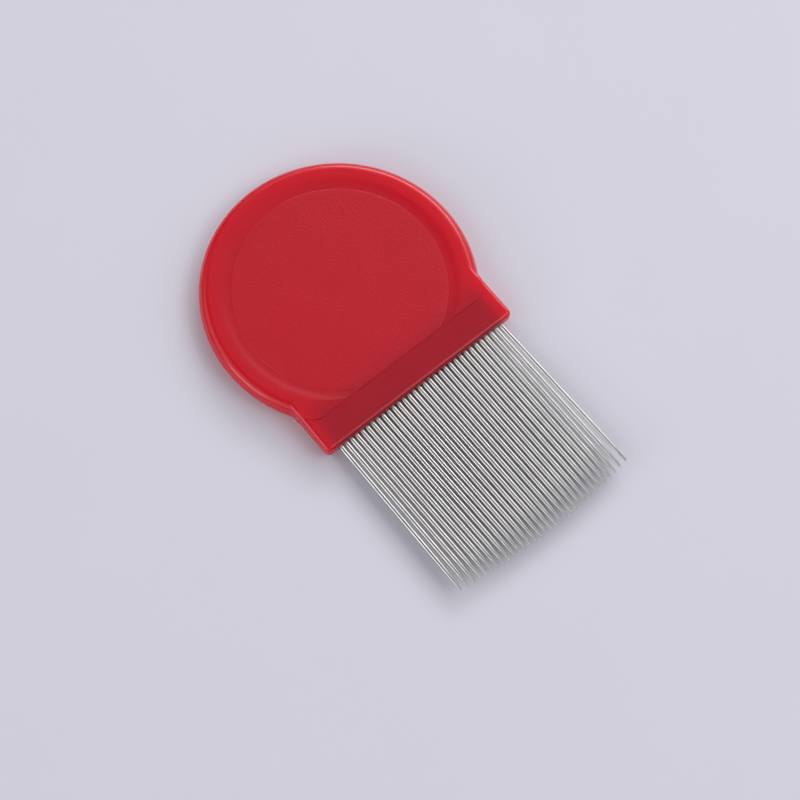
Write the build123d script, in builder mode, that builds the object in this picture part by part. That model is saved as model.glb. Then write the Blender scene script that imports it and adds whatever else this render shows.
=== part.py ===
from build123d import *
import math
import os

# Flea comb: a moulded handle, made of a round thumb pad that runs into a straight bar,
# with one row of steel pins moulded into the bar. Millimetres, +Z up. The comb lies flat:
# the origin is on the resting plane, under the centre of the overall length, and the pins
# point along -Y.

# --- driving dimensions --------------------------------------------------------------------
# Overall
pad_radius = 30.0            # outer radius of the round thumb pad
pin_reach = 69.4             # pad centre to the tips of the middle pins
rim_half = 2.5               # half the thickness of the pad's rim, the thickest place

# Thumb pad, upper half of its section (heights are above the middle plane)
panel_radius = 23.25         # satin panel in the middle, very slightly crowned
panel_crown_half = 2.40      # at its middle, just below the rim
panel_half = 2.25            # at its border
panel_edge = 0.12            # rounded edge of the panel, where it stands above the ring
rim_land_inner = 27.0        # narrow flat land on the top of the rim
rim_land_outer = 27.8

# Bar that holds the pins
bar_half_width = 25.15       # at the pad centre's end of the bar's straight sides
bar_flare = 0.2              # the sides spread by this much over the bar's length
bar_front = 27.3             # pad centre to the end face that the pins leave
bar_back = 10.0              # the bar's body starts this far from the pad centre, inside the pad
bar_corner = 1.2             # the rounded corners take this much of each side
bar_corner_front = 1.1       # and this much of the end face, which they meet at a slight edge
bar_edge = 1.0               # rounding of the bar's sides; the edges of the end face are sharp
chord = 20.4                 # straight crease between the pad and the bar
bar_half_at_chord = 2.05
top_slope = 0.0465           # the bar and its shoulders fall this much per mm towards the pins

# Shoulders: where the pad's top spreads out to the bar's sides
shoulder_radius = 30.5       # near the bar's sides their edge follows this circle
shoulder_corner = 3.0        # and turns into the crease with this radius
slope_start = 16.0           # from here on the shoulders slope down to the crease

# Parting line left by the mould, a fine groove at mid thickness
parting_depth = 0.12
parting_width = 0.12

# Pins
pin_count = 32
pin_pitch = 1.42
pin_radius = 0.5
pin_length = 50.0
taper_length = 7.0           # the last part narrows to a blunt tip
tip_radius = 0.24
tip_round = 0.12
root_chamfer = 0.15
arc_drop = 1.6               # the outer pins' tips stand back this far from the middle ones'
end_lean = 0.65              # the outermost tips stand this far outside their roots
end_lean_power = 11.6        # the lean dies away quickly towards the middle
wave_lean = 0.10             # slight waviness of the row
hand_lean = 0.05             # pin-to-pin unevenness of the tips across the row
hand_reach = 0.07            # and along the pins

# --- frame ---------------------------------------------------------------------------------
pad_y = pin_reach - (pad_radius + pin_reach) / 2
centre = (0, pad_y, rim_half)
middle = Plane(origin=centre)
section = Plane(origin=centre, x_dir=(1, 0, 0), z_dir=(0, -1, 0))
side = Plane(origin=centre, x_dir=(0, 1, 0), z_dir=(1, 0, 0))
pad_axis = Axis((0, pad_y, 0), (0, 0, 1))
crease = Plane(origin=(0, pad_y - chord, 0), z_dir=(0, 1, 0))

os.makedirs("parts", exist_ok=True)


def bar_top(distance):
    """Half thickness of the bar at this distance from the pad centre towards the pins."""
    return bar_half_at_chord - top_slope * (distance - chord)


def shoulder_top(distance):
    """Height of the sloping shoulders, which start level with the rim."""
    return rim_half - top_slope * (distance - slope_start)


def side_of_bar(distance):
    """Half width of the bar at this distance from the pad centre."""
    return bar_half_width + bar_flare * (distance - bar_back) / (bar_front - bar_back)


# --- pins ----------------------------------------------------------------------------------
def pin_ends(index):
    """Where a pin's axis crosses the bar's end face, and its tip, measured from the pad centre."""
    place = index - (pin_count - 1) / 2
    u = 2 * place / (pin_count - 1)
    x = place * pin_pitch
    lean = math.copysign(end_lean * abs(u) ** end_lean_power, u)
    lean -= wave_lean * math.sin(math.pi * u / 0.9)
    lean += hand_lean * math.sin(5.1 * index)
    reach = pin_reach - arc_drop * u * u - hand_reach * (1 + math.sin(2.3 * index)) * abs(u)
    return Vector(x, -bar_front, 0), Vector(x + lean, -reach, 0)


def make_pin(index):
    """One pin: round wire with a long taper to a blunt, slightly rounded tip."""
    mouth, tip = pin_ends(index)
    along = (tip - mouth).normalized()
    start = tip - along * pin_length + Vector(*centre)
    across = along.cross(Vector(0, 0, 1))
    pin_plane = Plane(origin=start, x_dir=along, z_dir=across)
    with BuildPart() as pin:
        with BuildSketch(pin_plane):
            with BuildLine():
                Line((0, 0), (0, pin_radius - root_chamfer))
                Line((0, pin_radius - root_chamfer), (root_chamfer, pin_radius))
                Line((root_chamfer, pin_radius), (pin_length - taper_length, pin_radius))
                taper = TangentArc(
                    (pin_length - taper_length, pin_radius),
                    (pin_length - tip_round, tip_radius),
                    tangent=(1, 0),
                )
                nose = TangentArc(
                    taper @ 1,
                    (pin_length, tip_radius - tip_round),
                    tangent=taper % 1,
                )
                Line(nose @ 1, (pin_length, 0))
                Line((pin_length, 0), (0, 0))
            make_face()
        revolve(axis=Axis(start, along))
    return pin.part


pins = [make_pin(index) for index in range(pin_count)]
for index, pin in enumerate(pins):
    pin.label = f"pin_{index + 1:02d}"
    export_step(pin, f"parts/{pin.label}.step")

# --- handle --------------------------------------------------------------------------------
# Everything above the sloping shoulders, and the same below them
with BuildPart() as slope:
    with BuildSketch(side):
        with BuildLine():
            Polyline(
                (-bar_back, shoulder_top(bar_back)),
                (-bar_front - 1, shoulder_top(bar_front + 1)),
                (-bar_front - 1, rim_half + 1),
                (-bar_back, rim_half + 1),
                close=True,
            )
        make_face()
    extrude(amount=pad_radius + 1, both=True)
    mirror(about=middle)

# Thumb pad: one turned body. Its rim is fully rounded outside and sinks inside, in a shallow
# double curve, to a ring out of which the panel stands a little.
ring_half = panel_half - panel_edge
with BuildPart() as pad:
    with BuildSketch(section):
        with BuildLine():
            Line((0, 0), (0, panel_crown_half))
            crown = TangentArc(
                (0, panel_crown_half), (panel_radius - panel_edge, panel_half), tangent=(1, 0)
            )
            TangentArc(crown @ 1, (panel_radius, ring_half), tangent=crown % 1)
            ring_middle = (rim_land_inner + panel_radius) / 2, (rim_half + ring_half) / 2
            ring_upper = TangentArc((rim_land_inner, rim_half), ring_middle, tangent=(-1, 0))
            TangentArc(ring_middle, (panel_radius, ring_half), tangent=ring_upper % 1)
            Line((rim_land_inner, rim_half), (rim_land_outer, rim_half))
            EllipticalCenterArc(
                (rim_land_outer, 0), pad_radius - rim_land_outer, rim_half,
                start_angle=0, arc_size=90,
            )
            Line((pad_radius, 0), (0, 0))
        make_face()
    revolve(axis=pad_axis)
    mirror(about=middle)
    with BuildSketch(section):
        with Locations((pad_radius - parting_depth, 0)):
            Rectangle(2 * parting_depth, parting_width, align=(Align.MIN, Align.CENTER))
    revolve(axis=pad_axis, mode=Mode.SUBTRACT)
    split(bisect_by=crease)
    add(slope.part, mode=Mode.SUBTRACT)

# Shoulders: the top of the rim carried out to the bar's sides, ending at the crease
with BuildPart() as shoulders:
    with BuildSketch(middle) as shoulder_plan:
        Circle(shoulder_radius)
        with Locations((0, -bar_back)):
            Rectangle(
                2 * side_of_bar(chord), chord - bar_back,
                align=(Align.CENTER, Align.MAX), mode=Mode.INTERSECT,
            )
        fillet(shoulder_plan.vertices().group_by(Axis.Y)[0], shoulder_corner)
        Circle(rim_land_inner, mode=Mode.SUBTRACT)
    extrude(amount=rim_half, both=True)
    sides = shoulders.faces().filter_by(Axis.X)
    fillet(sides.edges().filter_by(Axis.Y), bar_edge)
    add(slope.part, mode=Mode.SUBTRACT)

# Bar: a slab that thins towards the pins. Its sides are rounded as far as the corners, the edges
# of its end face are sharp, and it is grooved at the parting line. The pad takes its place
# inside the shoulders.
with BuildPart() as bar:
    with BuildSketch(side):
        with BuildLine():
            Polyline(
                (-bar_back, -bar_top(bar_back)),
                (-bar_back, bar_top(bar_back)),
                (-bar_front, bar_top(bar_front)),
                (-bar_front, -bar_top(bar_front)),
                close=True,
            )
        make_face()
    extrude(amount=pad_radius, both=True)
    with BuildSketch(middle) as bar_plan:
        with BuildLine():
            corner_start = side_of_bar(bar_front - bar_corner), bar_corner - bar_front
            corner_end = side_of_bar(bar_front) - bar_corner_front, -bar_front
            flank = Line((side_of_bar(bar_back), -bar_back), corner_start)
            TangentArc(corner_start, corner_end, tangent=flank % 1)
            Line(corner_end, (0, -bar_front))
            Line((0, -bar_back), (side_of_bar(bar_back), -bar_back))
            mirror(about=Plane.YZ)
        make_face()
    extrude(amount=pad_radius, both=True, mode=Mode.INTERSECT)
    broad_faces = bar.faces().sort_by(SortBy.AREA)[-2:]
    fillet(broad_faces.edges().group_by(Axis.Y)[1:-1], bar_edge)
    with BuildSketch(middle.offset(-parting_width / 2)):
        add(bar_plan.sketch)
        offset(bar_plan.sketch, -parting_depth, mode=Mode.SUBTRACT)
    extrude(amount=parting_width, mode=Mode.SUBTRACT)
    with BuildSketch(middle):
        Circle(rim_land_outer)
        with Locations((0, -chord)):
            Rectangle(
                2 * pad_radius, 2 * pad_radius,
                align=(Align.CENTER, Align.MIN), mode=Mode.INTERSECT,
            )
    extrude(amount=pad_radius, both=True, mode=Mode.SUBTRACT)

with BuildPart() as handle:
    add(pad.part)
    add(shoulders.part)
    add(bar.part)
    for pin in pins:
        add(pin, mode=Mode.SUBTRACT)

handle.part.label = "handle"
export_step(handle.part, "parts/handle.step")
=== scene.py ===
import bpy
import math
from mathutils import Matrix, Vector


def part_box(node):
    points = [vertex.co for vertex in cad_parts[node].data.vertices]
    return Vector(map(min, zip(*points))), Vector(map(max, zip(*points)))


# A flea comb lying flat: glossy red moulded handle with a satin thumb panel, and a row of
# bright steel pins. Metres, in the frame of the CAD model.

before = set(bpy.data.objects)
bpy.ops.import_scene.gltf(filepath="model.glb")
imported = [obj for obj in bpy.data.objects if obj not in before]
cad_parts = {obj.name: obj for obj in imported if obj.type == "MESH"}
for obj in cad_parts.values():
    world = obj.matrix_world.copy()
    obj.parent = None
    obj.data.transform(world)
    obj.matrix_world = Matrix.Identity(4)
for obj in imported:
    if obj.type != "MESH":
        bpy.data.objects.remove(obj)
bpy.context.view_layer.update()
MM = 0.001

# --- places read from the CAD model ----------------------------------------------------------
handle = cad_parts["handle"]
pins = [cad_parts[name] for name in sorted(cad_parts) if name.startswith("pin_")]
handle_low, handle_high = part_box("handle")
pad_radius = (handle_high.x - handle_low.x) / 2
pad_centre = Vector((0.0, handle_high.y - pad_radius, (handle_low.z + handle_high.z) / 2))

# --- sizes of what the materials paint -------------------------------------------------------
panel_radius = 23.1 * MM         # satin panel, a little inside its rounded edge
panel_fade = 0.12 * MM
chord = 20.4 * MM                # the panel and the ring end at this crease
grain_size = 0.45 * MM           # satin grain of the panel
grain_height = 0.08 * MM
skin_size = 2.2 * MM             # very faint waviness of the whole moulding
skin_height = 0.03 * MM
haze_size = 4.0 * MM             # patches where the plastic is a little less glossy
plastic_mottle = 9.0 * MM
scatter_reach = 12.0 * MM        # how far red light travels inside the plastic
line_size = 0.12 * MM            # width of the lines that drawing leaves on the wire
line_height = 0.01 * MM
line_stretch = 50.0              # the lines are this many times as long as they are wide
steel_patch = 3.0 * MM
board_mottle = 30.0 * MM


# --- node helpers ----------------------------------------------------------------------------
def new_material(name):
    material = bpy.data.materials.new(name)
    material.use_nodes = True
    tree = material.node_tree
    return material, tree, tree.nodes["Principled BSDF"]


def node(tree, kind, inputs=None, **settings):
    made = tree.nodes.new(kind)
    for key, value in settings.items():
        setattr(made, key, value)
    for key, value in (inputs or {}).items():
        if isinstance(value, bpy.types.NodeSocket):
            tree.links.new(value, made.inputs[key])
        else:
            made.inputs[key].default_value = value
    return made


def maths(tree, operation, first, second=0.0, third=0.0):
    return node(tree, "ShaderNodeMath", {0: first, 1: second, 2: third}, operation=operation).outputs[0]


def ramp(tree, value, low, high, start=0.0, end=1.0, kind="SMOOTHSTEP"):
    made = node(tree, "ShaderNodeMapRange", {
        "Value": value, "From Min": low, "From Max": high, "To Min": start, "To Max": end,
    }, interpolation_type=kind)
    return made.outputs["Result"]


def noise(tree, vector, size, detail=2.0, roughness=0.5):
    """Noise whose features are about this size, in metres."""
    return node(tree, "ShaderNodeTexNoise", {
        "Vector": vector, "Scale": 1.0 / size, "Detail": detail, "Roughness": roughness,
    }).outputs["Fac"]


def mix_colour(tree, factor, first, second):
    made = node(tree, "ShaderNodeMix", {"Factor": factor}, data_type="RGBA")
    for key, value in ((6, first), (7, second)):
        if isinstance(value, bpy.types.NodeSocket):
            tree.links.new(value, made.inputs[key])
        else:
            made.inputs[key].default_value = (*value, 1.0)
    return made.outputs[2]


# --- materials -------------------------------------------------------------------------------
def red_plastic():
    """Glossy moulded plastic; the panel on both faces of the pad has a fine satin grain."""
    material, tree, shader = new_material("red_moulded_plastic")
    place = node(tree, "ShaderNodeTexCoord").outputs["Object"]
    from_pad = node(tree, "ShaderNodeVectorMath", {0: place, 1: tuple(pad_centre)}, operation="SUBTRACT")
    axes = node(tree, "ShaderNodeSeparateXYZ", {0: from_pad.outputs[0]})
    flat = node(tree, "ShaderNodeCombineXYZ", {"X": axes.outputs["X"], "Y": axes.outputs["Y"]})
    radius = node(tree, "ShaderNodeVectorMath", {0: flat.outputs[0]}, operation="LENGTH").outputs["Value"]
    inside = ramp(tree, radius, panel_radius, panel_radius - panel_fade)
    before_crease = ramp(tree, axes.outputs["Y"], -chord, -chord + panel_fade)
    panel = maths(tree, "MULTIPLY", inside, before_crease)

    grain = noise(tree, place, grain_size, 2.0, 0.6)
    mottle = noise(tree, place, plastic_mottle, 3.0)
    grain_shade = maths(tree, "MULTIPLY_ADD", maths(tree, "SUBTRACT", grain, 0.5), panel, mottle)
    colour = mix_colour(tree, grain_shade, (0.66, 0.0055, 0.022), (0.72, 0.0066, 0.026))
    tree.links.new(colour, shader.inputs["Base Color"])

    haze = noise(tree, place, haze_size, 4.0)
    gloss = ramp(tree, haze, 0.3, 0.7, 0.19, 0.25, "LINEAR")
    satin = ramp(tree, haze, 0.3, 0.7, 0.29, 0.35, "LINEAR")
    rough = node(tree, "ShaderNodeMix", {"Factor": panel, 2: gloss, 3: satin}, data_type="FLOAT")
    tree.links.new(rough.outputs[0], shader.inputs["Roughness"])

    grain_bump = node(tree, "ShaderNodeBump", {
        "Strength": maths(tree, "MULTIPLY", panel, 0.90), "Distance": grain_height, "Height": grain,
    })
    skin = noise(tree, place, skin_size, 2.0)
    skin_bump = node(tree, "ShaderNodeBump", {
        "Strength": 0.12, "Distance": skin_height, "Height": skin,
        "Normal": grain_bump.outputs["Normal"],
    })
    tree.links.new(skin_bump.outputs["Normal"], shader.inputs["Normal"])
    shader.inputs["IOR"].default_value = 1.53
    shader.inputs["Subsurface Weight"].default_value = 1.0
    shader.inputs["Subsurface Radius"].default_value = (1.0, 0.02, 0.025)
    shader.inputs["Subsurface Scale"].default_value = scatter_reach
    return material


def drawn_steel():
    """Bright drawn wire, with the faint lengthwise lines that drawing leaves."""
    material, tree, shader = new_material("drawn_steel")
    place = node(tree, "ShaderNodeTexCoord").outputs["Object"]
    stretch = {"Vector": place, "Scale": (1.0, 1.0 / line_stretch, 1.0)}
    along = node(tree, "ShaderNodeMapping", stretch).outputs[0]
    lines = noise(tree, along, line_size, 3.0, 0.6)
    patches = noise(tree, place, steel_patch, 2.0)
    colour = mix_colour(tree, patches, (0.52, 0.507, 0.493), (0.60, 0.587, 0.57))
    tree.links.new(colour, shader.inputs["Base Color"])
    tree.links.new(ramp(tree, lines, 0.3, 0.7, 0.05, 0.09, "LINEAR"), shader.inputs["Roughness"])
    bump = node(tree, "ShaderNodeBump", {"Strength": 0.15, "Distance": line_height, "Height": lines})
    tree.links.new(bump.outputs["Normal"], shader.inputs["Normal"])
    shader.inputs["Metallic"].default_value = 1.0
    return material


def pale_floor():
    """Smooth pale board, barely mottled."""
    material, tree, shader = new_material("pale_board")
    place = node(tree, "ShaderNodeTexCoord").outputs["Object"]
    mottle = noise(tree, place, board_mottle, 4.0)
    colour = mix_colour(tree, mottle, (0.81, 0.795, 0.895), (0.83, 0.815, 0.915))
    tree.links.new(colour, shader.inputs["Base Color"])
    shader.inputs["Roughness"].default_value = 0.6
    return material


def dress(piece, material):
    for index in range(len(piece.material_slots)):
        piece.material_slots[index].material = material


plastic = red_plastic()
steel = drawn_steel()
dress(handle, plastic)
for pin in pins:
    dress(pin, steel)


# --- floor -----------------------------------------------------------------------------------
floor_half = 1.5
floor_gap = 0.02 * MM            # keeps the floor's surface just clear of the comb's underside


def make_floor():
    corners = [
        (-floor_half, -floor_half, 0), (floor_half, -floor_half, 0),
        (floor_half, floor_half, 0), (-floor_half, floor_half, 0),
    ]
    mesh = bpy.data.meshes.new("floor")
    mesh.from_pydata(corners, [], [(0, 1, 2, 3)])
    floor = bpy.data.objects.new("floor", mesh)
    floor.location.z = -floor_gap
    bpy.context.scene.collection.objects.link(floor)
    mesh.materials.append(pale_floor())


make_floor()

# --- camera ----------------------------------------------------------------------------------
camera_azimuth = math.radians(-43.957)
camera_elevation = math.radians(68.909)
camera_roll = math.radians(4.642)
camera_distance = 888.9 * MM
camera_aim = Vector((-5.61, -7.43, 2.5)) * MM
camera_lens = 189.0
camera_sensor = 36.0


def make_camera():
    back = Vector((
        math.sin(camera_azimuth) * math.cos(camera_elevation),
        -math.cos(camera_azimuth) * math.cos(camera_elevation),
        math.sin(camera_elevation),
    ))
    level = Vector((math.cos(camera_azimuth), math.sin(camera_azimuth), 0.0))
    right = Matrix.Rotation(camera_roll, 3, back) @ level
    up = back.cross(right)
    data = bpy.data.cameras.new("camera")
    data.lens = camera_lens
    data.sensor_width = camera_sensor
    data.clip_start = 0.01
    data.clip_end = 10.0
    camera = bpy.data.objects.new("camera", data)
    turn = Matrix((right, up, back)).transposed().to_4x4()
    camera.matrix_world = Matrix.Translation(camera_aim + back * camera_distance) @ turn
    bpy.context.scene.collection.objects.link(camera)
    bpy.context.scene.camera = camera


make_camera()


# --- light -----------------------------------------------------------------------------------
box_distance = 1.2


def softbox(name, azimuth, elevation, width, height, strength):
    """A rectangular white light that faces the comb; azimuth is from +X towards +Y."""
    a, e = math.radians(azimuth), math.radians(elevation)
    away = Vector((math.cos(a) * math.cos(e), math.sin(a) * math.cos(e), math.sin(e)))
    data = bpy.data.lights.new(name, "AREA")
    data.shape = "RECTANGLE"
    data.size = width
    data.size_y = height
    data.energy = strength * width * height * math.pi
    light = bpy.data.objects.new(name, data)
    light.location = away * box_distance
    light.rotation_mode = "QUATERNION"
    light.rotation_quaternion = away.to_track_quat("Z", "Y")
    bpy.context.scene.collection.objects.link(light)


softbox("main_box", 32, 25, 0.90, 0.30, 4.6)
softbox("side_box", 310, 50, 0.60, 0.40, 2.2)
softbox("left_box", 173, 14, 0.60, 0.20, 5.0)


def studio_world(room, left, ends, right):
    """Pale walls on both sides, brightest half way up, that die away towards the ends of the room.

    The rest of the room is dim, and dimmest low down and towards -X.
    """
    world = bpy.data.worlds.new("studio")
    bpy.context.scene.world = world
    world.use_nodes = True
    tree = world.node_tree
    direction = node(tree, "ShaderNodeTexCoord").outputs["Generated"]
    axes = node(tree, "ShaderNodeSeparateXYZ", {0: direction})
    above_horizon = ramp(tree, axes.outputs["Z"], 0.14, 0.36)
    below_zenith = ramp(tree, axes.outputs["Z"], 0.88, 0.60)
    band = maths(tree, "MULTIPLY", above_horizon, below_zenith)
    left_half = ramp(tree, axes.outputs["X"], -0.6, -0.1, left, ends)
    right_half = ramp(tree, axes.outputs["X"], 0.1, 0.6, 0.0, right - ends)
    walls = maths(tree, "MULTIPLY", band, maths(tree, "ADD", left_half, right_half))
    ceiling = ramp(tree, axes.outputs["X"], -0.10, 0.20, 0.35 * room, room)
    low_down = ramp(tree, axes.outputs["Z"], 0.15, 0.70, 0.2, 1.0)
    dim = maths(tree, "MULTIPLY", ceiling, low_down)
    background = tree.nodes["Background"]
    background.inputs["Color"].default_value = (0.97, 0.98, 1.0, 1.0)
    tree.links.new(maths(tree, "ADD", walls, dim), background.inputs["Strength"])


studio_world(room=0.33, left=1.00, ends=0.08, right=1.20)
bpy.context.scene.view_settings.view_transform = "Standard"
